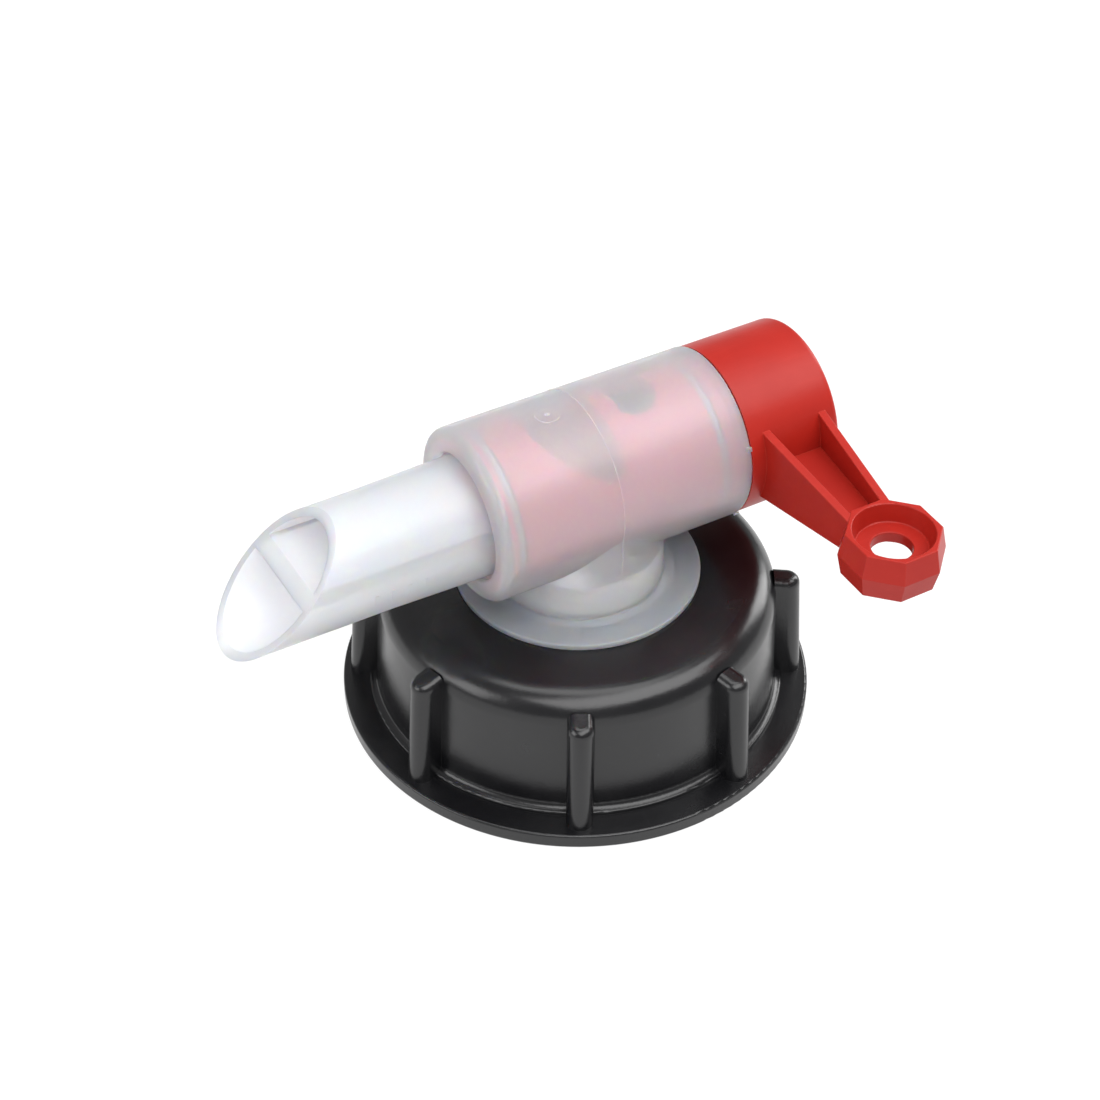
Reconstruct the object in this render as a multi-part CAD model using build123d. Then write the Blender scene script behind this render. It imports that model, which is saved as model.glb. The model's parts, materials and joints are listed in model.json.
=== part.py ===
from build123d import *
import math
import os

# A vented dispensing tap that swivels in a ribbed screw cap for plastic canisters.
# Millimetres. +Z runs up the cap's axis from the middle of its rim. The barrel lies along X with
# the spout towards -X and the lever plug towards +X. At rest the tap is shut, lever towards -Y.

# Screw cap
CAP_HEIGHT = 24.3
CAP_TOP_WALL = 2.35
CAP_HOLE_R = 15.65
SHOULDER_R = 4.6
SKIRT_TOP_R = 32.0
SKIRT_FOOT_R = 32.7
FOOT_RING_R = 33.9
FOOT_RING_HEIGHT = 0.7
FOOT_FLARE_R = 1.1
FLANGE_R = 38.25
FLANGE_HEIGHT = 2.5
FLANGE_EDGE_R = 0.4
ENTRY_R = 31.2
ENTRY_DEPTH = 3.0
MOUTH_CHAMFER = 0.4

# Cap thread, the coarse 61 mm canister size
THREAD_ROOT_R = 30.75
THREAD_CREST_R = 28.7
THREAD_PITCH = 6.0
THREAD_START_Z = 5.2
THREAD_TURNS = 2.0
THREAD_ROOT_WIDTH = 3.6
THREAD_CREST_WIDTH = 1.6
THREAD_TOP_Z = 20.2

# Grip ribs
RIB_COUNT = 8
RIB_FIRST_ANGLE = -119.2
RIB_WIDTH = 4.2
RIB_FOOT_R = 37.1
RIB_TOP_R = 35.7
RIB_TOP_Z = 22.5
RIB_INNER_R = 31.6
RIB_TOP_ROUND = 1.4
RIB_TOP_SLOPE = 5.0

# Running gaps between pieces that turn on each other
RUN_GAP = 0.05
FACE_GAP = 0.1

# Collar, spigot and neck of the tap
COLLAR_R = 19.64
COLLAR_HEIGHT = 0.9
COLLAR_EDGE_R = 0.3
COLLAR_Z = CAP_HEIGHT + 0.04
SPIGOT_R = CAP_HOLE_R - 0.07
SPIGOT_WALL = 0.7
SPIGOT_CORE_R = 13.2
SPIGOT_CORE_TOP_Z = 24.3
NECK_TOP_R = 13.45
NECK_FOOT_R = 13.73
NECK_BORE_R = 11.3
NECK_FOOT_FILLET = 0.3
SNAP_DEPTH = 0.5
SNAP_LOW_Z = 27.2
SNAP_HIGH_Z = 28.5

# Barrel
AXIS_Z = 42.94
BARREL_R = 13.94
BARREL_LEFT_X = -20.5
BARREL_RIGHT_X = 22.9
BARREL_EDGE_R = 1.7
BARREL_RIM_R = 0.35
BORE_R = 12.15
BORE_LEFT_X = -18.4
END_GROOVE_R = 10.2
END_GROOVE_X = -19.3
END_LIP_R = 0.5
SEAM_WIDTH = 0.24
SEAM_HEIGHT = 0.1

# Proud stretch of the open rim, in degrees from -Y towards +Z, and its end nibs
RIM_TAB_LOW = -40.0
RIM_TAB_HIGH = 22.0
RIM_TAB_HEIGHT = 0.1
NIB_SIZE = 0.7

# Small moulding marks
GATE_PAD_R = 1.9
GATE_PAD_X = -5.7
GATE_PAD_HEIGHT = 0.1
GATE_PIP_R = 0.45
TICK_COUNT = 5
TICK_FIRST_X = -39.5
TICK_PITCH = 2.7
TICK_WIDTH = 0.5
TICK_LENGTH = 1.8
TICK_HEIGHT = 0.16
TICK_Z = -1.3

# Ports between neck and barrel, and the bridge between them
PORT_R = 10.0
BRIDGE_LEFT_X = 2.35
BRIDGE_RIGHT_X = 5.4

# Spout and its divider
SPOUT_CUT_X = -51.53
SPOUT_TIP_R = 9.26
SPOUT_R = 9.32
SPOUT_ROOT_R = 9.73
SPOUT_TAPER_X = -36.0
SPOUT_STRAIGHT_X = -41.9
SPOUT_BORE_R = 8.16
DIVIDER_THICKNESS = 2.07
DIVIDER_OFFSET = 1.71

# Rotary plug
PLUG_R = BORE_R - RUN_GAP
PLUG_LEFT_X = -18.3
PLUG_BORE_R = 10.2
PLUG_WALL_X = 14.0
PLUG_WALL_THICKNESS = 2.0
AIR_WALL_THICKNESS = 2.05
AIR_PORT_RIGHT_X = 12.6
AIR_PORT_HALF_WIDTH = 4.2
LIQUID_PORT_R = 10.3
LIQUID_PORT_X = 0.4
HANDLE_LEFT_X = 23.1
HANDLE_RIGHT_X = 39.4
HANDLE_R = 13.8
HANDLE_BORE_R = 11.6
HANDLE_EDGE_R = 0.9
HANDLE_RIB = 1.8
HANDLE_RIB_SETBACK = 3.4

# Snap bead and turn stop between plug and barrel
BEAD_X = 20.8
BEAD_WIDTH = 0.9
BEAD_HEIGHT = 0.35
STOP_X = 21.75
STOP_R = 12.9
STOP_LUG_ANGLE = -60.0
STOP_LUG_HALF = 12.0
STOP_PLAY = 0.5
TURN_ANGLE = 180.0

# O-rings: section radius, and the groove that each sits in
PLUG_RING_R = 0.54
PLUG_GROOVE_R = 11.0
PLUG_GROOVE_WIDTH = 1.4
FRONT_RING_X = -16.9
REAR_RING_X = 18.95
NECK_RING_R = 0.5
NECK_GROOVE_R = 10.25
NECK_GROOVE_WIDTH = 1.4
NECK_RING_Z = 24.6
RING_GAP = 0.02

# Lever arm
ARM_FRONT_X = 25.4
ARM_BACK_X = 37.4
ARM_EYE_FRONT_X = 26.8
ARM_EYE_BACK_X = 34.9
ARM_PLATE = 1.4
ARM_EDGE_R = 0.18
ARM_ROOT_Y = -10.5
ARM_TOP = 6.95
ARM_BOTTOM = -5.9
ARM_EYE_TOP = 3.9
ARM_EYE_BOTTOM = -1.7
WEB_TOP = 1.2
WEB_BOTTOM = -0.75

# Octagonal eye
EYE_X = 31.4
EYE_Y = -38.57
EYE_FACE_R = 7.47
EYE_WAIST_R = 8.3
EYE_TOP = 4.27
EYE_WAIST = 0.4
EYE_BOTTOM = -3.4
EYE_EDGE_R = 0.2
EYE_CUP_TOP_R = 6.29
EYE_CUP_FLOOR_R = 5.58
EYE_HOLE_R = 3.2

# Inlet flange, gasket and breather
INLET_DISC_R = 27.8
INLET_TOP_Z = 21.9
INLET_DISC_HEIGHT = 2.0
INLET_TUBE_R = NECK_BORE_R - 0.05
INLET_BORE_R = 9.4
INLET_TUBE_TOP_Z = 28.5
INLET_WALL_LEFT_X = 3.1
INLET_WALL_RIGHT_X = 4.6
GASKET_INNER_R = 20.0
GASKET_HEIGHT = 2.2
GASKET_BOSS_R = 19.9
GASKET_BOSS_HEIGHT = 1.2
AIR_FLOOR_HEIGHT = 1.6
TUBE_X = 7.0
TUBE_R = 1.9
TUBE_BORE_R = 1.3
TUBE_BOTTOM_Z = 6.0
TUBE_TOP_Z = 21.2
SOCKET_WALL = 0.7
SOCKET_BOTTOM_Z = 15.0


def ring_z(outer_r, inner_r, low_z, high_z):
    """A plain ring round Z between two heights."""
    height = high_z - low_z
    ring = Cylinder(outer_r, height) - Cylinder(inner_r, height * 2)
    return Pos(0, 0, (low_z + high_z) / 2) * ring


def rod_z(radius, low_z, high_z, x=0.0):
    """A plain rod parallel to Z."""
    return Pos(x, 0, (low_z + high_z) / 2) * Cylinder(radius, high_z - low_z)


def rod_x(radius, low_x, high_x):
    """A plain rod on the barrel's axis."""
    rod = Rot(0, 90, 0) * Cylinder(radius, high_x - low_x)
    return Pos((low_x + high_x) / 2, 0, AXIS_Z) * rod


def cone_x(low_r, high_r, low_x, high_x):
    """A cone on the barrel's axis, low_r at low_x and high_r at high_x."""
    cone = Rot(0, 90, 0) * Cone(low_r, high_r, high_x - low_x)
    return Pos((low_x + high_x) / 2, 0, AXIS_Z) * cone


def block(low_x, high_x, low_y, high_y, low_z, high_z):
    """A box between two corners."""
    size = (high_x - low_x, high_y - low_y, high_z - low_z)
    middle = ((low_x + high_x) / 2, (low_y + high_y) / 2, (low_z + high_z) / 2)
    return Pos(*middle) * Box(*size)


def wedge_x(radius, low_x, high_x, middle_angle, half_angle):
    """A sector of a rod on the barrel's axis. Angles run from -Y through +Z."""
    points = [(0, 0)]
    steps = max(2, math.ceil(half_angle / 20))
    reach = radius / math.cos(math.radians(half_angle / steps)) + 0.5
    for step in range(-steps, steps + 1):
        angle = math.radians(middle_angle + half_angle * step / steps)
        points.append((-reach * math.cos(angle), reach * math.sin(angle)))
    face = make_face(Polyline(*points, close=True))
    plane = Plane(origin=(low_x, 0, AXIS_Z), x_dir=(0, 1, 0), z_dir=(1, 0, 0))
    sector = extrude(plane * face, high_x - low_x)
    return sector & rod_x(radius, low_x, high_x)


def circle_edges(shape, radius):
    """The full-circle edges of one radius."""
    length = 2 * math.pi * radius
    return shape.edges().filter_by(lambda edge: abs(edge.length - length) < 0.01)


def thread_ridge():
    """The inward ridge of the cap's thread, rooted a little way into the wall."""
    root = THREAD_ROOT_R + 0.2
    helix = Helix(
        pitch=THREAD_PITCH,
        height=THREAD_PITCH * THREAD_TURNS,
        radius=THREAD_CREST_R,
        center=(0, 0, THREAD_START_Z),
    )
    section = Polyline(
        (THREAD_CREST_R, THREAD_START_Z - THREAD_CREST_WIDTH / 2),
        (root, THREAD_START_Z - THREAD_ROOT_WIDTH / 2),
        (root, THREAD_START_Z + THREAD_ROOT_WIDTH / 2),
        (THREAD_CREST_R, THREAD_START_Z + THREAD_CREST_WIDTH / 2),
        close=True,
    )
    return sweep(Plane.XZ * make_face(section), path=helix, is_frenet=True)


def grip_rib():
    """One upright rib at angle zero: a round-nosed fin that leans in, with a sloping rounded top."""

    def outline(z, nose_r):
        nose = nose_r - RIB_WIDTH / 2
        length = nose_r - RIB_INNER_R
        fin = Pos((RIB_INNER_R + nose) / 2, 0) * Rectangle(nose - RIB_INNER_R, RIB_WIDTH)
        round_nose = Pos(nose, 0) * Circle(RIB_WIDTH / 2)
        half = Pos(RIB_INNER_R + length / 2, 0) * Rectangle(length, RIB_WIDTH)
        return Pos(0, 0, z) * ((fin + round_nose) & half)

    foot = outline(FLANGE_HEIGHT - 0.3, RIB_FOOT_R)
    top = outline(RIB_TOP_Z, RIB_TOP_R)
    fin = loft([foot.face(), top.face()])
    above = Pos(RIB_INNER_R, 0, RIB_TOP_Z) * Rot(0, RIB_TOP_SLOPE, 0)
    fin -= above * Pos(0, 0, 10) * Box(40, 20, 20)
    rim = fin.faces().sort_by(Axis.Z)[-1].edges().filter_by(
        lambda edge: edge.center().X > RIB_INNER_R + 0.1
    )
    return fillet(rim, RIB_TOP_ROUND)


def make_screw_cap():
    """Flange, ribbed skirt and rounded shoulder, hollow inside with the coarse thread."""
    top_z = CAP_HEIGHT
    shoulder_z = top_z - SHOULDER_R
    foot_z = FLANGE_HEIGHT + FOOT_RING_HEIGHT
    outline = [
        Line((CAP_HOLE_R, top_z - CAP_TOP_WALL), (CAP_HOLE_R, top_z)),
        Line((CAP_HOLE_R, top_z), (SKIRT_TOP_R - SHOULDER_R, top_z)),
        RadiusArc(
            (SKIRT_TOP_R - SHOULDER_R, top_z), (SKIRT_TOP_R, shoulder_z), SHOULDER_R
        ),
        Line((SKIRT_TOP_R, shoulder_z), (SKIRT_FOOT_R, foot_z)),
        Line((SKIRT_FOOT_R, foot_z), (FOOT_RING_R, foot_z)),
        Line((FOOT_RING_R, foot_z), (FOOT_RING_R, FLANGE_HEIGHT)),
        Line((FOOT_RING_R, FLANGE_HEIGHT), (FLANGE_R, FLANGE_HEIGHT)),
        Line((FLANGE_R, FLANGE_HEIGHT), (FLANGE_R, 0)),
        Line((FLANGE_R, 0), (ENTRY_R + MOUTH_CHAMFER, 0)),
        Line((ENTRY_R + MOUTH_CHAMFER, 0), (ENTRY_R, MOUTH_CHAMFER)),
        Line((ENTRY_R, MOUTH_CHAMFER), (ENTRY_R, ENTRY_DEPTH)),
        Line((ENTRY_R, ENTRY_DEPTH), (THREAD_ROOT_R, ENTRY_DEPTH + MOUTH_CHAMFER)),
        Line((THREAD_ROOT_R, ENTRY_DEPTH + MOUTH_CHAMFER), (THREAD_ROOT_R, THREAD_TOP_Z)),
        Line((THREAD_ROOT_R, THREAD_TOP_Z), (INLET_DISC_R + 0.6, top_z - CAP_TOP_WALL)),
        Line((INLET_DISC_R + 0.6, top_z - CAP_TOP_WALL), (CAP_HOLE_R, top_z - CAP_TOP_WALL)),
    ]
    shell = revolve(Plane.XZ * make_face(outline), Axis.Z)
    shell = fillet(circle_edges(shell, FLANGE_R), FLANGE_EDGE_R)
    ring_edge = circle_edges(shell, FOOT_RING_R).sort_by(Axis.Z)[-1]
    shell = fillet(ring_edge, FOOT_RING_HEIGHT * 0.4)
    shell = fillet(circle_edges(shell, SKIRT_FOOT_R), FOOT_FLARE_R)
    rib = grip_rib()
    for index in range(RIB_COUNT):
        angle = RIB_FIRST_ANGLE + index * 360 / RIB_COUNT
        shell += Rot(0, 0, angle) * rib
    return shell + thread_ridge()


def make_gasket():
    """Flat ring that seals the inlet flange on the container's rim."""
    top_z = INLET_TOP_Z - INLET_DISC_HEIGHT
    return ring_z(INLET_DISC_R, GASKET_INNER_R, top_z - GASKET_HEIGHT, top_z)


def barrel_shell_cut():
    """Everything inside the barrel's outer surface."""
    return rod_x(BARREL_R, BARREL_LEFT_X - 5, BARREL_RIGHT_X + 5)


def make_inlet_flange():
    """Snap-in inlet: a disc under the cap, a divided tube up the neck and the air socket."""
    disc_low_z = INLET_TOP_Z - INLET_DISC_HEIGHT
    boss_low_z = disc_low_z - GASKET_BOSS_HEIGHT
    body = rod_z(INLET_DISC_R, disc_low_z, INLET_TOP_Z - 0.05)
    body = chamfer(body.edges().sort_by(Axis.Z)[-1], 0.5)
    body += rod_z(GASKET_BOSS_R, boss_low_z, INLET_TOP_Z - 0.1)
    body += rod_z(INLET_TUBE_R, INLET_TOP_Z - 1, INLET_TUBE_TOP_Z)
    bead = Solid.make_torus(INLET_TUBE_R - 0.1, SNAP_DEPTH)
    body += Pos(0, 0, (SNAP_LOW_Z + SNAP_HIGH_Z) / 2) * bead
    body -= rod_z(INLET_BORE_R, boss_low_z - 1, INLET_TUBE_TOP_Z + 1)
    ring_groove_low_z = NECK_RING_Z - NECK_GROOVE_WIDTH / 2
    ring_groove_high_z = NECK_RING_Z + NECK_GROOVE_WIDTH / 2
    body -= ring_z(INLET_TUBE_R + 1, NECK_GROOVE_R, ring_groove_low_z, ring_groove_high_z)
    inside = rod_z(INLET_BORE_R + 0.2, boss_low_z, AXIS_Z)
    reach = INLET_BORE_R + 1
    wall = block(INLET_WALL_LEFT_X, INLET_WALL_RIGHT_X, -reach, reach, boss_low_z, AXIS_Z - 8)
    floor = block(
        INLET_WALL_LEFT_X, reach, -reach, reach, boss_low_z, boss_low_z + AIR_FLOOR_HEIGHT
    )
    body += (wall - rod_x(BARREL_R + RUN_GAP, -reach, reach)) & inside
    body += floor & inside
    body += rod_z(TUBE_R + SOCKET_WALL, SOCKET_BOTTOM_Z, boss_low_z + 0.5, TUBE_X)
    return body - rod_z(TUBE_R + RING_GAP, SOCKET_BOTTOM_Z - 1, TUBE_TOP_Z, TUBE_X)


def make_breather_tube():
    """Short pipe pushed up into the air socket of the inlet flange."""
    tube = rod_z(TUBE_R, TUBE_BOTTOM_Z, TUBE_TOP_Z, TUBE_X)
    return tube - rod_z(TUBE_BORE_R, TUBE_BOTTOM_Z - 1, TUBE_TOP_Z + 1, TUBE_X)


def o_ring_x(x):
    """O-ring round the plug, just clear of groove floor and bore."""
    ring = Solid.make_torus(PLUG_GROOVE_R + PLUG_RING_R + RING_GAP, PLUG_RING_R)
    return Pos(x, 0, AXIS_Z) * Rot(0, 90, 0) * ring


def make_neck_o_ring():
    """O-ring round the inlet tube."""
    ring = Solid.make_torus(NECK_GROOVE_R + NECK_RING_R + RING_GAP, NECK_RING_R)
    return Pos(0, 0, NECK_RING_Z) * ring


def spout_outside():
    """Spout outer shape: slight draft at the outlet, straight, then tapering out to the barrel."""
    tip_x = SPOUT_CUT_X - SPOUT_R - 1
    tip = cone_x(SPOUT_TIP_R, SPOUT_R, tip_x, SPOUT_STRAIGHT_X)
    straight = rod_x(SPOUT_R, SPOUT_STRAIGHT_X, SPOUT_TAPER_X)
    taper = cone_x(SPOUT_R, SPOUT_ROOT_R, SPOUT_TAPER_X, BORE_LEFT_X)
    return tip + straight + taper


def spout_slant_cut():
    """The half space beyond the 45 degree outlet plane."""
    size = 60
    corner = Pos(-size / 2, 0, 0) * Box(size, size, size)
    return Pos(SPOUT_CUT_X, 0, AXIS_Z) * Rot(0, 45, 0) * corner


def rim_tab():
    """Slightly proud stretch of the barrel's open rim, with a nib at each end."""
    middle = (RIM_TAB_LOW + RIM_TAB_HIGH) / 2
    half = (RIM_TAB_HIGH - RIM_TAB_LOW) / 2
    tab = wedge_x(BARREL_R - 0.3, BARREL_RIGHT_X - 1, BARREL_RIGHT_X + RIM_TAB_HEIGHT, middle, half)
    for angle in (RIM_TAB_LOW, RIM_TAB_HIGH):
        nib = Pos(BARREL_RIGHT_X - NIB_SIZE / 2, -BARREL_R, 0) * Box(NIB_SIZE, NIB_SIZE, NIB_SIZE)
        tab += Pos(0, 0, AXIS_Z) * Rot(-angle, 0, 0) * nib
    return tab


def gate_pad():
    """Round moulding mark on top of the barrel: a flat pad with a small pip."""
    pad = rod_z(GATE_PAD_R, AXIS_Z, AXIS_Z + BARREL_R + GATE_PAD_HEIGHT, GATE_PAD_X)
    pip = Sphere(GATE_PIP_R)
    return pad + Pos(GATE_PAD_X, 0, AXIS_Z + BARREL_R + GATE_PAD_HEIGHT - GATE_PIP_R / 2) * pip


def mould_ticks():
    """A row of plain raised ticks along the spout's side."""
    ticks = Part()
    reach = TICK_COUNT * TICK_PITCH
    limit = rod_x(SPOUT_R + TICK_HEIGHT, TICK_FIRST_X - TICK_PITCH, TICK_FIRST_X + reach)
    for index in range(TICK_COUNT):
        x = TICK_FIRST_X + index * TICK_PITCH
        ticks += Pos(x, -SPOUT_R, AXIS_Z + TICK_Z) * Box(TICK_WIDTH, 2, TICK_LENGTH)
    return ticks & limit


def make_tap_body():
    """Spout, barrel, neck, collar and spigot as one hollow moulding."""
    barrel = rod_x(BARREL_R, BARREL_LEFT_X, BARREL_RIGHT_X)
    barrel = fillet(barrel.edges().sort_by(Axis.X)[0], BARREL_EDGE_R)
    barrel = fillet(barrel.edges().sort_by(Axis.X)[-1], BARREL_RIM_R)
    barrel -= rod_x(END_GROOVE_R, BARREL_LEFT_X - 1, END_GROOVE_X)
    barrel = fillet(circle_edges(barrel, END_GROOVE_R).sort_by(Axis.X)[0], END_LIP_R)
    neck_low_z = COLLAR_Z + COLLAR_HEIGHT
    neck = Cone(NECK_FOOT_R, NECK_TOP_R, AXIS_Z - neck_low_z)
    neck = Pos(0, 0, (AXIS_Z + neck_low_z) / 2) * neck
    collar = rod_z(COLLAR_R, COLLAR_Z, COLLAR_Z + COLLAR_HEIGHT)
    collar = fillet(collar.edges().sort_by(Axis.Z)[-1], COLLAR_EDGE_R)
    spigot = rod_z(SPIGOT_R, INLET_TOP_Z, COLLAR_Z)
    core = ring_z(
        SPIGOT_R - SPIGOT_WALL, SPIGOT_CORE_R, INLET_TOP_Z - 1, SPIGOT_CORE_TOP_Z
    )
    foot = collar + spigot + neck - core
    foot = fillet(circle_edges(foot, NECK_FOOT_R), NECK_FOOT_FILLET)
    seam = rod_x(BARREL_R + SEAM_HEIGHT, -SEAM_WIDTH / 2, SEAM_WIDTH / 2)
    neck_seam = block(
        -SEAM_WIDTH / 2,
        SEAM_WIDTH / 2,
        -NECK_TOP_R - 2 * SEAM_HEIGHT,
        NECK_TOP_R + 2 * SEAM_HEIGHT,
        neck_low_z + NECK_FOOT_FILLET,
        AXIS_Z,
    )
    body = barrel + foot + seam + neck_seam + spout_outside()
    body += rim_tab() + gate_pad() + mould_ticks()
    bore = rod_x(BORE_R, BORE_LEFT_X, BARREL_RIGHT_X + 1)
    groove_r = PLUG_R + BEAD_HEIGHT + RUN_GAP
    bore += rod_x(groove_r, BEAD_X - BEAD_WIDTH / 2 - FACE_GAP, BEAD_X + BEAD_WIDTH / 2 + FACE_GAP)
    window_middle = STOP_LUG_ANGLE + TURN_ANGLE / 2
    window_half = TURN_ANGLE / 2 + STOP_LUG_HALF + STOP_PLAY
    bore += wedge_x(STOP_R, STOP_X, BARREL_RIGHT_X + 1, window_middle, window_half)
    channel = rod_x(SPOUT_BORE_R, SPOUT_CUT_X - 20, BORE_LEFT_X + 1)
    divider_low = AXIS_Z + DIVIDER_OFFSET - DIVIDER_THICKNESS / 2
    divider_high = AXIS_Z + DIVIDER_OFFSET + DIVIDER_THICKNESS / 2
    channel -= block(
        SPOUT_CUT_X - 20, BORE_LEFT_X, -SPOUT_R, SPOUT_R, divider_low, divider_high
    )
    neck_bore = rod_z(NECK_BORE_R, INLET_TOP_Z - 1, AXIS_Z) - barrel_shell_cut()
    snap_groove = ring_z(NECK_BORE_R + SNAP_DEPTH + 0.1, NECK_BORE_R - 1, SNAP_LOW_Z, SNAP_HIGH_Z)
    ports = rod_z(PORT_R, INLET_TOP_Z, AXIS_Z)
    ports -= block(BRIDGE_LEFT_X, BRIDGE_RIGHT_X, -PORT_R, PORT_R, INLET_TOP_Z, AXIS_Z)
    body -= bore
    body -= channel
    body -= neck_bore
    body -= snap_groove
    body -= ports
    return body - spout_slant_cut()


def arm_plate(root_x, eye_x, inward):
    """One upright side plate of the lever arm, from the handle into the eye's wall."""
    end_y = EYE_Y + EYE_CUP_TOP_R * 0.7
    strip = Polyline(
        (root_x, ARM_ROOT_Y),
        (root_x + inward * ARM_PLATE, ARM_ROOT_Y),
        (eye_x + inward * ARM_PLATE, end_y),
        (eye_x, end_y),
        close=True,
    )
    upright = Pos(0, 0, AXIS_Z - 20) * extrude(make_face(strip), 40)
    side = Polyline(
        (ARM_ROOT_Y, ARM_TOP),
        (ARM_ROOT_Y, ARM_BOTTOM),
        (end_y, ARM_EYE_BOTTOM),
        (end_y, ARM_EYE_TOP),
        close=True,
    )
    plane = Plane(origin=(0, 0, AXIS_Z), x_dir=(0, 1, 0), z_dir=(1, 0, 0))
    plate = upright & extrude(plane * make_face(side), 60)
    long_edges = plate.edges().filter_by(lambda edge: edge.length > ARM_PLATE * 10)
    return fillet(long_edges, ARM_EDGE_R)


def arm_web():
    """Flat web between the two side plates."""
    end_y = EYE_Y + EYE_CUP_TOP_R * 0.7
    inset = ARM_PLATE / 2
    outline = Polyline(
        (ARM_FRONT_X + inset, ARM_ROOT_Y),
        (ARM_BACK_X - inset, ARM_ROOT_Y),
        (ARM_EYE_BACK_X - inset, end_y),
        (ARM_EYE_FRONT_X + inset, end_y),
        close=True,
    )
    return Pos(0, 0, AXIS_Z + WEB_BOTTOM) * extrude(make_face(outline), WEB_TOP - WEB_BOTTOM)


def octagon_frustum(low_z, low_r, high_z, high_r):
    """Octagonal frustum with flats square to X and Y, centred on the eye."""
    low = Pos(EYE_X, EYE_Y, AXIS_Z + low_z) * Rot(0, 0, 22.5) * RegularPolygon(low_r, 8)
    high = Pos(EYE_X, EYE_Y, AXIS_Z + high_z) * Rot(0, 0, 22.5) * RegularPolygon(high_r, 8)
    return loft([low.face(), high.face()])


def eye_cup(floor, face):
    """Round tapered recess in one face of the eye."""
    height = abs(face - floor)
    low_r, high_r = EYE_CUP_FLOOR_R, EYE_CUP_TOP_R
    if face < floor:
        low_r, high_r = high_r, low_r
    cup = Cone(low_r, high_r, height)
    return Pos(EYE_X, EYE_Y, AXIS_Z + (face + floor) / 2) * cup


def make_eye():
    """Octagonal eye, widest at its waist, with a cup in each face and a round hole."""
    eye = octagon_frustum(EYE_WAIST, EYE_WAIST_R, EYE_TOP, EYE_FACE_R)
    eye += octagon_frustum(EYE_BOTTOM, EYE_FACE_R, EYE_WAIST, EYE_WAIST_R)
    eye -= eye_cup(WEB_TOP, EYE_TOP)
    eye -= eye_cup(WEB_BOTTOM, EYE_BOTTOM)
    eye -= Pos(EYE_X, EYE_Y, AXIS_Z) * Cylinder(EYE_HOLE_R, 20)
    return fillet(eye.edges(), EYE_EDGE_R)


def make_lever():
    """Arm of two side plates and a web, with the octagonal eye at its end."""
    arm = arm_plate(ARM_FRONT_X, ARM_EYE_FRONT_X, 1)
    arm += arm_plate(ARM_BACK_X, ARM_EYE_BACK_X, -1)
    arm += arm_web()
    arm -= Pos(EYE_X, EYE_Y, AXIS_Z) * Cylinder(EYE_CUP_TOP_R + EYE_EDGE_R, 40)
    return arm + make_eye()


def make_rotary_plug():
    """Ported plug in the barrel, with the handle drum and lever outside it."""
    handle = rod_x(HANDLE_R, HANDLE_LEFT_X, HANDLE_RIGHT_X)
    handle = fillet(handle.edges().sort_by(Axis.X)[-1], HANDLE_EDGE_R)
    plug = rod_x(PLUG_R, PLUG_LEFT_X, HANDLE_LEFT_X + 1)
    bead_low_x = BEAD_X - BEAD_WIDTH / 2
    bead_high_x = BEAD_X + BEAD_WIDTH / 2
    plug += rod_x(PLUG_R + BEAD_HEIGHT, bead_low_x, bead_high_x)
    lug_r = STOP_R - RUN_GAP
    plug += wedge_x(lug_r, STOP_X + FACE_GAP, HANDLE_LEFT_X, STOP_LUG_ANGLE, STOP_LUG_HALF)
    plug += handle + make_lever()
    for ring_x in (FRONT_RING_X, REAR_RING_X):
        groove = rod_x(PLUG_R + 1, ring_x - PLUG_GROOVE_WIDTH / 2, ring_x + PLUG_GROOVE_WIDTH / 2)
        plug -= groove - rod_x(PLUG_GROOVE_R, PLUG_LEFT_X, HANDLE_LEFT_X)
    chamber = rod_x(PLUG_BORE_R, PLUG_LEFT_X - 1, PLUG_WALL_X)
    partition_high = AXIS_Z - DIVIDER_OFFSET + DIVIDER_THICKNESS / 2
    partition_low = AXIS_Z - DIVIDER_OFFSET - DIVIDER_THICKNESS / 2
    air_wall_right_x = BRIDGE_LEFT_X + AIR_WALL_THICKNESS
    chamber -= block(
        PLUG_LEFT_X, air_wall_right_x, -PLUG_R, PLUG_R, partition_low, partition_high
    )
    chamber -= block(
        BRIDGE_LEFT_X, air_wall_right_x, -PLUG_R, PLUG_R, partition_high, AXIS_Z + PLUG_R
    )
    plug -= chamber
    liquid_port = rod_z(LIQUID_PORT_R, AXIS_Z + 1, AXIS_Z + PLUG_R + 1, LIQUID_PORT_X)
    liquid_port -= block(BRIDGE_LEFT_X, 20, -20, 20, AXIS_Z, AXIS_Z + 20)
    plug -= liquid_port
    air_port = rod_z(AIR_PORT_HALF_WIDTH, AXIS_Z + 1, AXIS_Z + PLUG_R + 1, 0)
    air_port = Pos(AIR_PORT_RIGHT_X - AIR_PORT_HALF_WIDTH, 0, 0) * air_port
    air_port -= block(-20, BRIDGE_RIGHT_X, -20, 20, AXIS_Z, AXIS_Z + 20)
    plug -= air_port
    hollow = rod_x(HANDLE_BORE_R, HANDLE_LEFT_X + 1, HANDLE_RIGHT_X + 1)
    hollow += rod_x(PLUG_BORE_R, PLUG_WALL_X + PLUG_WALL_THICKNESS, HANDLE_RIGHT_X)
    hollow -= block(
        PLUG_WALL_X,
        HANDLE_RIGHT_X - HANDLE_RIB_SETBACK,
        -HANDLE_R,
        HANDLE_R,
        AXIS_Z - HANDLE_RIB / 2,
        AXIS_Z + HANDLE_RIB / 2,
    )
    return plug - hollow


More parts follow.
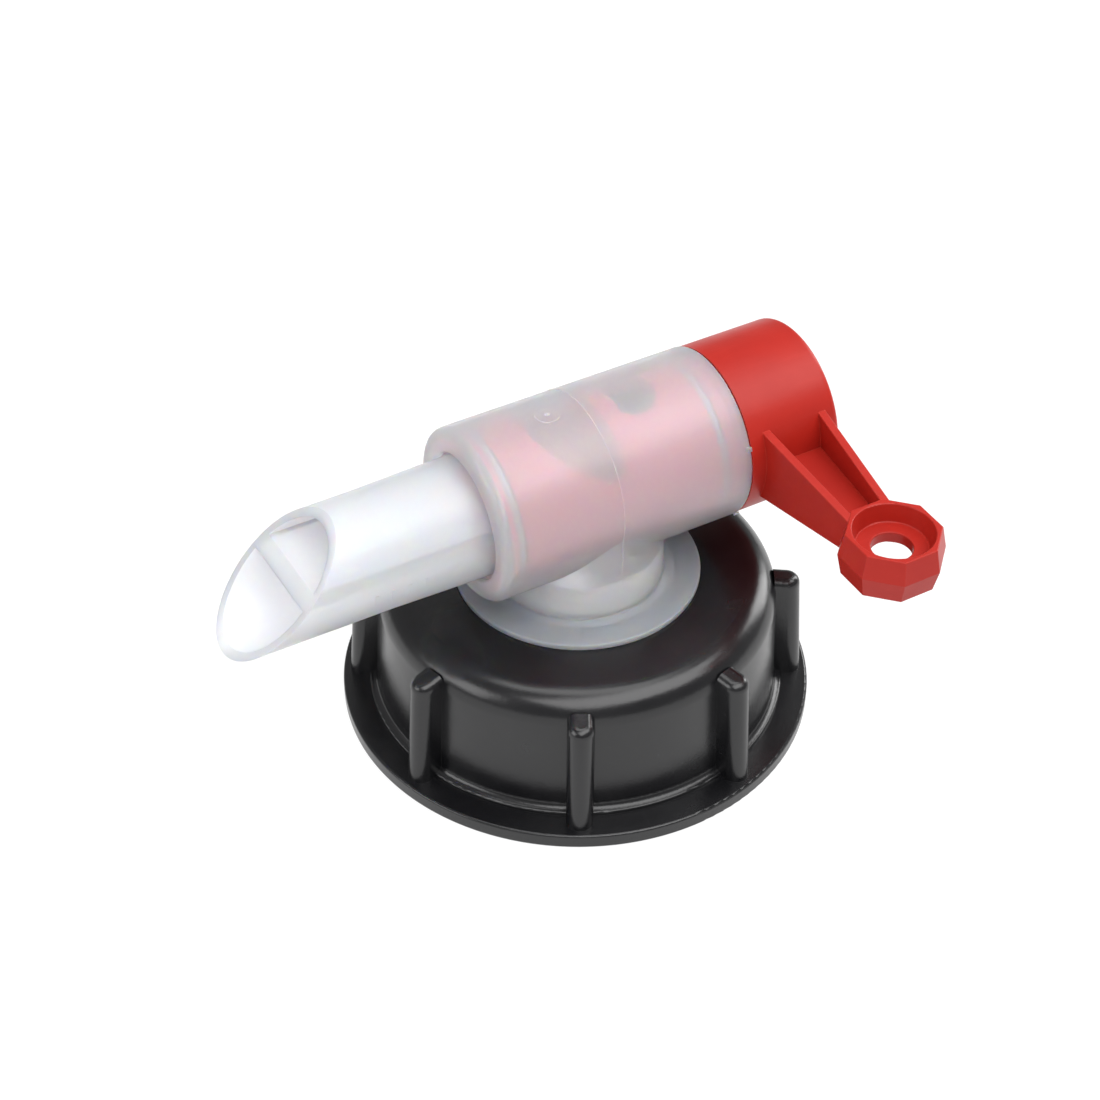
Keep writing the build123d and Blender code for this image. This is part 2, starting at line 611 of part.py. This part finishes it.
def main():
    os.makedirs("parts", exist_ok=True)
    pieces = {
        "screw_cap": make_screw_cap(),
        "cap_gasket": make_gasket(),
        "inlet_flange": make_inlet_flange(),
        "neck_o_ring": make_neck_o_ring(),
        "breather_tube": make_breather_tube(),
        "tap_body": make_tap_body(),
        "rotary_plug": make_rotary_plug(),
        "front_o_ring": o_ring_x(FRONT_RING_X),
        "rear_o_ring": o_ring_x(REAR_RING_X),
    }
    for name, piece in pieces.items():
        export_step(piece, f"parts/{name}.step")


main()
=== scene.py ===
"""Looks of the vented canister dispensing tap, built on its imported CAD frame. Units are metres."""

import json
import math

import bpy
from mathutils import Matrix, Vector


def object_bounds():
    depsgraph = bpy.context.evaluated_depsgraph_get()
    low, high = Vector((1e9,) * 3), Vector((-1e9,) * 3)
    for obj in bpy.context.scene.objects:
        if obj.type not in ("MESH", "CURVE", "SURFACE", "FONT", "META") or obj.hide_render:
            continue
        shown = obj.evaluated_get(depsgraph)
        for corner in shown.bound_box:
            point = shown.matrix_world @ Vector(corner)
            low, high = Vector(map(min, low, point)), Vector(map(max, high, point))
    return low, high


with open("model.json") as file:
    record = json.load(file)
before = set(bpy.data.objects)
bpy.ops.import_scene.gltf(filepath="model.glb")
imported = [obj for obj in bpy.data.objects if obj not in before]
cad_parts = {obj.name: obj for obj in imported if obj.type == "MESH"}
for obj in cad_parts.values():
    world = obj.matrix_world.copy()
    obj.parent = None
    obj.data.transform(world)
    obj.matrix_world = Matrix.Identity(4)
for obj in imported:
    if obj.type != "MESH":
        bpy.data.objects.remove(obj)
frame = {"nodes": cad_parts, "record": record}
cad_low, cad_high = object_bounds()

MM = 0.001

# Camera: direction it looks from, distance, and the point it looks at
CAMERA_AZIMUTH = 30.158
CAMERA_ELEVATION = 40.864
CAMERA_ROLL = 0.482
CAMERA_DISTANCE = 377.86 * MM
CAMERA_TARGET = Vector((-5.135, -0.188, 30.0)) * MM
CAMERA_LENS = 78.67
CAMERA_SENSOR = 36.0

# Share of light that passes the tap's wall instead of scattering in it
SPOUT_CLEARNESS = 0.6
BARREL_CLEARNESS = 0.79
NECK_CLEARNESS = 0.58
EDGE_CLEARNESS = 0.62

# Where one clearness fades into the next: along X at the spout's root, and above and below
# the neck's middle
SPOUT_ROOT_X = (-24 * MM, -19 * MM)
NECK_MIDDLE_Z = 28.8 * MM
NECK_FADE = (2.4 * MM, 3.4 * MM)

# Where the lever's red takes over from the paler, bluer painted light on the plug inside the barrel,
# which stands in for light scattered through the milky wall
HANDLE_START_X = (22.6 * MM, 23.0 * MM)

# Grain of the noise patterns, the soft rim of a speck, and how far a rounded normal may lie
# from the true one, as a cosine, before a place counts as an edge
NOISE_ROUGHNESS = 0.55
SPECK_CORE = 0.35
EDGE_STARTS = 0.995
EDGE_FULL = 0.85

# Floor, surroundings and lights
FLOOR_HALF = 3.0
FLOOR_GAP = 0.05 * MM
FLOOR_GLOW = 0.88
WORLD_STRENGTH = 0.38
LIGHT_DISTANCE = 0.8
LIGHT_AIM = Vector((0, 0, 0.04))
LIGHTS = (
    # name, azimuth, elevation, width, height, power
    ("key", 15, 62, 1.3, 0.55, 8.6),
    ("top", 160, 78, 0.6, 0.35, 1.8),
    ("left", -95, 24, 0.5, 0.4, 2.2),
    ("right", 100, 25, 0.25, 0.6, 3.2),
)


# ---------------------------------------------------------------- node helpers


class Shader:
    """A material on one Principled shader, with short calls for the nodes that feed it."""

    def __init__(self, name, color, roughness, **sockets):
        self.material = bpy.data.materials.new(name)
        self.material.use_nodes = True
        self.tree = self.material.node_tree
        self.main = self.tree.nodes["Principled BSDF"]
        self.set(base_color=(*color, 1.0), roughness=roughness, **sockets)
        self.place = self.tree.nodes.new("ShaderNodeTexCoord").outputs["Object"]

    def set(self, **sockets):
        for key, value in sockets.items():
            label = key.replace("_", " ").title().replace("Ior", "IOR")
            self.main.inputs[label].default_value = value

    def link(self, output, key):
        self.tree.links.new(output, self.main.inputs[key])

    def node(self, kind, **values):
        """A node with its properties set, and its inputs set or linked by name."""
        made = self.tree.nodes.new("ShaderNode" + kind)
        for key, value in values.pop("inputs", {}).items():
            if isinstance(value, bpy.types.NodeSocket):
                self.tree.links.new(value, made.inputs[key])
            else:
                made.inputs[key].default_value = value
        for key, value in values.items():
            setattr(made, key, value)
        return made

    def stretched(self, x, y, z):
        """The object's place, scaled by axis, so that a pattern runs along one of them."""
        mapping = self.node("Mapping", inputs={"Vector": self.place, "Scale": (x, y, z)})
        return mapping.outputs["Vector"]

    def along(self, axis):
        """The object's place along axis X, Y or Z, in metres."""
        return self.node("SeparateXYZ", inputs={"Vector": self.place}).outputs[axis]

    def distance(self, value, middle):
        """How far value is from middle, on either side."""
        offset = self.node("Math", operation="SUBTRACT")
        self.feed(offset.inputs[0], value)
        self.feed(offset.inputs[1], middle)
        size = self.node("Math", operation="ABSOLUTE")
        self.feed(size.inputs[0], offset.outputs["Value"])
        return size.outputs["Value"]

    def noise(self, size, detail=3.0, place=None, distortion=0.0):
        """Soft noise with features about size metres across, from 0 to 1."""
        made = self.node(
            "TexNoise",
            inputs={
                "Vector": place or self.place,
                "Scale": 1.0 / size,
                "Detail": detail,
                "Roughness": NOISE_ROUGHNESS,
                "Distortion": distortion,
            },
        )
        return made.outputs["Fac"]

    def specks(self, spacing, radius):
        """Sparse dots, 1 in the middle of a dot and 0 outside it."""
        made = self.node(
            "TexVoronoi",
            inputs={"Vector": self.place, "Scale": 1.0 / spacing, "Randomness": 1.0},
        )
        rim = radius / spacing
        return self.ramp(made.outputs["Distance"], rim, SPECK_CORE * rim)

    def ramp(self, value, low, high, out_low=0.0, out_high=1.0):
        """value mapped from low..high to out_low..out_high, held at the ends."""
        made = self.node(
            "MapRange",
            inputs={
                "Value": value,
                "From Min": low,
                "From Max": high,
                "To Min": out_low,
                "To Max": out_high,
            },
        )
        return made.outputs["Result"]

    def mix(self, share, a, b):
        """Colour a, with share of colour b over it."""
        made = self.node("Mix", data_type="RGBA")
        made.clamp_factor = True
        self.feed(made.inputs[0], share)
        self.feed(made.inputs[6], a)
        self.feed(made.inputs[7], b)
        return made.outputs[2]

    def feed(self, socket, value):
        """Links or sets one socket, by what value is."""
        if isinstance(value, bpy.types.NodeSocket):
            self.tree.links.new(value, socket)
        elif isinstance(value, tuple):
            socket.default_value = (*value, 1.0)
        else:
            socket.default_value = value

    def bump(self, height, depth, normal=None):
        """Surface relief: height 0..1 stands for depth metres."""
        made = self.node("Bump", inputs={"Height": height, "Distance": depth, "Strength": 1.0})
        if normal is not None:
            self.tree.links.new(normal, made.inputs["Normal"])
        return made.outputs["Normal"]

    def edges(self, radius):
        """1 along sharp edges within about radius metres, 0 on open faces."""
        soft = self.node("Bevel", samples=4, inputs={"Radius": radius}).outputs["Normal"]
        true = self.node("NewGeometry").outputs["Normal"]
        dot = self.node("VectorMath", operation="DOT_PRODUCT")
        self.tree.links.new(soft, dot.inputs[0])
        self.tree.links.new(true, dot.inputs[1])
        return self.ramp(dot.outputs["Value"], EDGE_STARTS, EDGE_FULL)


# ---------------------------------------------------------------- materials


def tap_translucent():
    """Natural polyethylene: milky, lets the plug show through, with a fine satin skin."""
    s = Shader(
        "tap_translucent",
        (0.93, 0.94, 1.0),
        0.31,
        transmission_weight=BARREL_CLEARNESS,
        subsurface_weight=1.0,
        subsurface_radius=(1.0, 0.75, 0.5),
        subsurface_scale=2.5 * MM,
        ior=1.4,
    )
    clouds = s.noise(9 * MM, detail=4.0)
    flow = s.noise(2.2 * MM, detail=3.0, place=s.stretched(0.25, 1.0, 1.0))
    milk = s.mix(s.ramp(clouds, 0.35, 0.7), (0.945, 0.95, 1.0), (0.915, 0.925, 0.985))
    milk = s.mix(s.ramp(flow, 0.55, 0.8, 0.0, 0.35), milk, (0.99, 0.99, 1.0))
    dust = s.specks(3.1 * MM, 0.14 * MM)
    milk = s.mix(s.ramp(dust, 0.0, 1.0, 0.0, 0.6), milk, (1.0, 1.0, 1.0))
    s.link(milk, "Base Color")
    from_neck = s.distance(s.along("Z"), NECK_MIDDLE_Z)
    barrel = s.ramp(from_neck, *NECK_FADE, NECK_CLEARNESS, BARREL_CLEARNESS)
    clear = s.ramp(s.along("X"), *SPOUT_ROOT_X, SPOUT_CLEARNESS, barrel)
    clear = s.ramp(s.edges(0.25 * MM), 0.0, 1.0, clear, EDGE_CLEARNESS)
    s.link(clear, "Transmission Weight")
    s.link(s.ramp(clouds, 0.3, 0.7, 0.28, 0.35), "Roughness")
    skin = s.bump(s.noise(0.35 * MM, detail=2.0), 0.01 * MM)
    s.link(s.bump(s.noise(5 * MM), 0.03 * MM, normal=skin), "Normal")
    return s.material


def natural_plastic():
    """Whiter natural polyethylene of the hidden inlet and breather."""
    s = Shader(
        "natural_plastic", (0.86, 0.86, 0.84), 0.42, transmission_weight=0.5, ior=1.4
    )
    clouds = s.noise(7 * MM, detail=4.0)
    s.link(s.mix(s.ramp(clouds, 0.35, 0.7), (0.88, 0.88, 0.86), (0.8, 0.8, 0.77)), "Base Color")
    s.link(s.ramp(clouds, 0.3, 0.7, 0.36, 0.5), "Roughness")
    s.link(s.bump(s.noise(0.4 * MM, detail=2.0), 0.008 * MM), "Normal")
    return s.material


def plug_red():
    """Satin red polypropylene with paler edges and flow marks; inside the barrel the plug is painted
    paler and bluer, as painted light for light scattered through the milky wall.
    """
    s = Shader("plug_red", (0.38, 0.017, 0.01), 0.38, specular_ior_level=0.25, ior=1.49)
    clouds = s.noise(8 * MM, detail=5.0)
    red = s.mix(s.ramp(clouds, 0.3, 0.75), (0.38, 0.017, 0.01), (0.33, 0.013, 0.008))
    streaks = s.noise(1.3 * MM, detail=3.0, place=s.stretched(0.12, 1.0, 1.0))
    red = s.mix(s.ramp(streaks, 0.58, 0.8, 0.0, 0.25), red, (0.46, 0.03, 0.02))
    red = s.mix(s.ramp(s.edges(0.22 * MM), 0.0, 1.0, 0.0, 0.4), red, (0.62, 0.09, 0.06))
    # Painted light: the plug inside the barrel gets a paler, bluer red, standing in for light
    # scattered onto it through the milky wall
    rotor_painted_light = s.mix(s.ramp(clouds, 0.3, 0.75), (0.64, 0.03, 0.1), (0.56, 0.025, 0.085))
    red = s.mix(s.ramp(s.along("X"), *HANDLE_START_X), rotor_painted_light, red)
    s.link(red, "Base Color")
    s.link(s.ramp(clouds, 0.3, 0.7, 0.34, 0.42), "Roughness")
    grain = s.bump(s.noise(0.3 * MM, detail=2.0), 0.008 * MM)
    s.link(s.bump(s.noise(4 * MM), 0.04 * MM, normal=grain), "Normal")
    return s.material


def cap_black():
    """Satin black polyethylene with a fine grain, faint scuffs, a little dust, and lighter rims that
    are partly edge wear and partly painted highlight.
    """
    s = Shader("cap_black", (0.005, 0.005, 0.006), 0.24, specular_ior_level=0.55, ior=1.5)
    clouds = s.noise(11 * MM, detail=5.0)
    black = s.mix(s.ramp(clouds, 0.35, 0.7), (0.004, 0.004, 0.005), (0.008, 0.008, 0.009))
    scuffs = s.noise(1.6 * MM, detail=4.0, place=s.stretched(1.0, 0.2, 1.0), distortion=0.6)
    black = s.mix(s.ramp(scuffs, 0.62, 0.78, 0.0, 0.3), black, (0.022, 0.022, 0.024))
    dust = s.specks(2.3 * MM, 0.09 * MM)
    black = s.mix(s.ramp(dust, 0.0, 1.0, 0.0, 0.6), black, (0.2, 0.2, 0.2))
    # Lighter rims along sharp edges: partly edge wear, partly a painted highlight on rib tops and
    # rims
    black = s.mix(s.ramp(s.edges(0.2 * MM), 0.0, 1.0, 0.0, 0.35), black, (0.04, 0.04, 0.042))
    s.link(black, "Base Color")
    s.link(s.ramp(clouds, 0.3, 0.7, 0.2, 0.28), "Roughness")
    grain = s.bump(s.noise(0.28 * MM, detail=2.0), 0.016 * MM)
    s.link(s.bump(s.noise(6 * MM), 0.05 * MM, normal=grain), "Normal")
    return s.material


def gasket_foam():
    """Closed-cell foam with small dimples."""
    s = Shader("gasket_foam", (0.7, 0.7, 0.68), 0.8)
    cells = s.node("TexVoronoi", inputs={"Vector": s.place, "Scale": 1.0 / (0.5 * MM)})
    fill = s.ramp(cells.outputs["Distance"], 0.1, 0.6)
    s.link(s.mix(fill, (0.74, 0.74, 0.72), (0.58, 0.58, 0.56)), "Base Color")
    s.link(s.bump(fill, 0.05 * MM), "Normal")
    s.link(s.ramp(s.noise(3 * MM), 0.3, 0.7, 0.72, 0.88), "Roughness")
    return s.material


def seal_rubber():
    """Milky silicone."""
    s = Shader("seal_rubber", (0.5, 0.48, 0.47), 0.45, transmission_weight=0.3, ior=1.41)
    clouds = s.noise(2 * MM)
    s.link(s.mix(s.ramp(clouds, 0.3, 0.7), (0.54, 0.52, 0.51), (0.46, 0.44, 0.43)), "Base Color")
    s.link(s.ramp(clouds, 0.3, 0.7, 0.38, 0.52), "Roughness")
    s.link(s.bump(s.noise(0.2 * MM), 0.004 * MM), "Normal")
    return s.material


def dress():
    """Gives each CAD node the material of its slot in the record."""
    makers = {
        "cap_black": cap_black,
        "tap_translucent": tap_translucent,
        "natural_plastic": natural_plastic,
        "plug_red": plug_red,
        "gasket_foam": gasket_foam,
        "seal_rubber": seal_rubber,
    }
    made = {name: maker() for name, maker in makers.items()}
    for part in frame["record"]["subparts"]:
        for slot in frame["nodes"][part["node"]].material_slots:
            slot.material = made[part["material_slot"]]


# ---------------------------------------------------------------- stage, light and camera


def make_floor():
    """Pale floor, far wider than the view."""
    mesh = bpy.data.meshes.new("floor")
    corners = [
        (-FLOOR_HALF, -FLOOR_HALF, 0),
        (FLOOR_HALF, -FLOOR_HALF, 0),
        (FLOOR_HALF, FLOOR_HALF, 0),
        (-FLOOR_HALF, FLOOR_HALF, 0),
    ]
    mesh.from_pydata(corners, [], [(0, 1, 2, 3)])
    floor = bpy.data.objects.new("floor", mesh)
    floor.location.z = cad_low.z - FLOOR_GAP
    bpy.context.scene.collection.objects.link(floor)
    s = Shader("floor_white", (0.15, 0.15, 0.15), 0.9)
    s.set(emission_color=(1.0, 1.0, 1.0, 1.0), emission_strength=FLOOR_GLOW)
    s.link(s.mix(s.noise(0.4), (0.14, 0.14, 0.14), (0.16, 0.16, 0.16)), "Base Color")
    mesh.materials.append(s.material)


def soft_box(name, azimuth, elevation, width, height, power):
    """Area light facing the object from a direction, in degrees round from -Y towards +X."""
    light = bpy.data.lights.new(name, "AREA")
    light.shape = "RECTANGLE"
    light.size = width
    light.size_y = height
    light.energy = power
    lamp = bpy.data.objects.new(name, light)
    a, e = math.radians(azimuth), math.radians(elevation)
    way = Vector((math.sin(a) * math.cos(e), -math.cos(a) * math.cos(e), math.sin(e)))
    lamp.location = LIGHT_AIM + way * LIGHT_DISTANCE
    lamp.rotation_mode = "QUATERNION"
    lamp.rotation_quaternion = way.to_track_quat("Z", "Y")
    bpy.context.scene.collection.objects.link(lamp)


def light_scene():
    """White surroundings, a wide box high in front, one above and one at each side."""
    world = bpy.data.worlds.new("studio")
    world.use_nodes = True
    background = world.node_tree.nodes["Background"]
    background.inputs["Color"].default_value = (1.0, 1.0, 1.0, 1.0)
    background.inputs["Strength"].default_value = WORLD_STRENGTH
    bpy.context.scene.world = world
    for light in LIGHTS:
        soft_box(*light)
    view = bpy.context.scene.view_settings
    view.view_transform = "Standard"
    view.look = "None"


def make_camera():
    """Camera that looks down on the part from its front left."""
    data = bpy.data.cameras.new("camera")
    data.lens = CAMERA_LENS
    data.sensor_width = CAMERA_SENSOR
    data.clip_start = 0.01
    data.clip_end = 10.0
    camera = bpy.data.objects.new("camera", data)
    a, e = math.radians(CAMERA_AZIMUTH), math.radians(CAMERA_ELEVATION)
    back = Vector((-math.sin(a) * math.cos(e), -math.cos(a) * math.cos(e), math.sin(e)))
    right = Vector((math.cos(a), -math.sin(a), 0))
    up = back.cross(right)
    turn = Matrix((right, up, back)).transposed().to_4x4()
    roll = Matrix.Rotation(math.radians(CAMERA_ROLL), 4, "Z")
    camera.matrix_world = Matrix.Translation(CAMERA_TARGET + back * CAMERA_DISTANCE) @ turn @ roll
    bpy.context.scene.collection.objects.link(camera)
    bpy.context.scene.camera = camera


dress()
make_floor()
light_scene()
make_camera()
